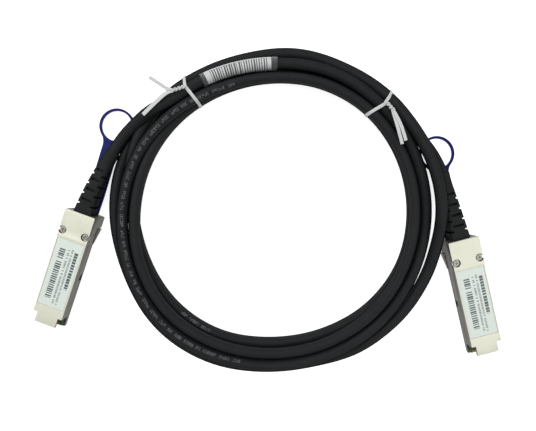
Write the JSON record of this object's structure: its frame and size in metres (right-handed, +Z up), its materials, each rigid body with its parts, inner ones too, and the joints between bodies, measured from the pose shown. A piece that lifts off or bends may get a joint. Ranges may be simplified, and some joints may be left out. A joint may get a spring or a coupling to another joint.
{
  "type": "direct attach copper cable",
  "caption": "Coiled copper network cable with a metal plug at each end, pull tabs, ribbed strain reliefs, twist ties and labels.",
  "frame": {"origin": "on the surface the part lies on, under the middle of the box round both plugs and their tabs", "axes": "+Z up, +X from the left plug to the right plug, +Y from the plugs' noses towards their pull rings"},
  "size_m": [0.2876, 0.197, 0.0296],
  "materials": {
    "shell": "satin nickel-plated die-cast zinc",
    "label": "matte printed film",
    "screw": "plated",
    "latch": "rolled spring sheet",
    "tab": "moulded, semi-gloss",
    "relief": "moulded, satin",
    "card": "solder mask",
    "gold": "gold plated",
    "chip": "moulded",
    "capacitor": "ceramic",
    "wire": "foil-wrapped pair",
    "cover": "hot-moulded",
    "ferrule": "crimped",
    "spring": "drawn",
    "jacket": "satin extruded jacket",
    "tie": "matte",
    "cable_label": "printed film",
    "sleeve": "clear heat-shrink"
  },
  "bodies": {
    "cable_and_shells": {"plug_lid_left": "shell", "plug_base_left": "shell", "plug_label_left": "label", "shell_screws_left": "screw", "strain_relief_left": "relief", "paddle_card_left": "card", "contact_pads_left": "gold", "memory_chip_left": "chip", "coupling_capacitors_left": "capacitor", "wire_pairs_left": "wire", "solder_cover_left": "cover", "crimp_ferrule_left": "ferrule", "return_springs_left": "spring", "plug_lid_right": "shell", "plug_base_right": "shell", "plug_label_right": "label", "shell_screws_right": "screw", "strain_relief_right": "relief", "paddle_card_right": "card", "contact_pads_right": "gold", "memory_chip_right": "chip", "coupling_capacitors_right": "capacitor", "wire_pairs_right": "wire", "solder_cover_right": "cover", "crimp_ferrule_right": "ferrule", "return_springs_right": "spring", "cable_coil": "jacket", "loose_turn": "jacket", "lead_left": "jacket", "lead_right": "jacket", "twist_tie_left": "tie", "twist_tie_right": "tie", "cable_label": "cable_label", "label_sleeve": "sleeve"},
    "left_release": {"latch_slider_left": "latch", "pull_tab_left": "tab"},
    "right_release": {"latch_slider_right": "latch", "pull_tab_right": "tab"}
  },
  "joints": [
    {"name": "left_release_slide", "type": "slide", "parent": "cable_and_shells", "child": "left_release", "axis": [0.3415, 0.9368, 0.0761], "range_m": [0, 0.003], "stiffness_N_per_m": 800, "springref_m": -0.001, "deforming": ["return_springs_left"]},
    {"name": "right_release_slide", "type": "slide", "parent": "cable_and_shells", "child": "right_release", "axis": [-0.2522, 0.9647, 0.0761], "range_m": [0, 0.003], "stiffness_N_per_m": 800, "springref_m": -0.001, "deforming": ["return_springs_right"]}
  ]
}
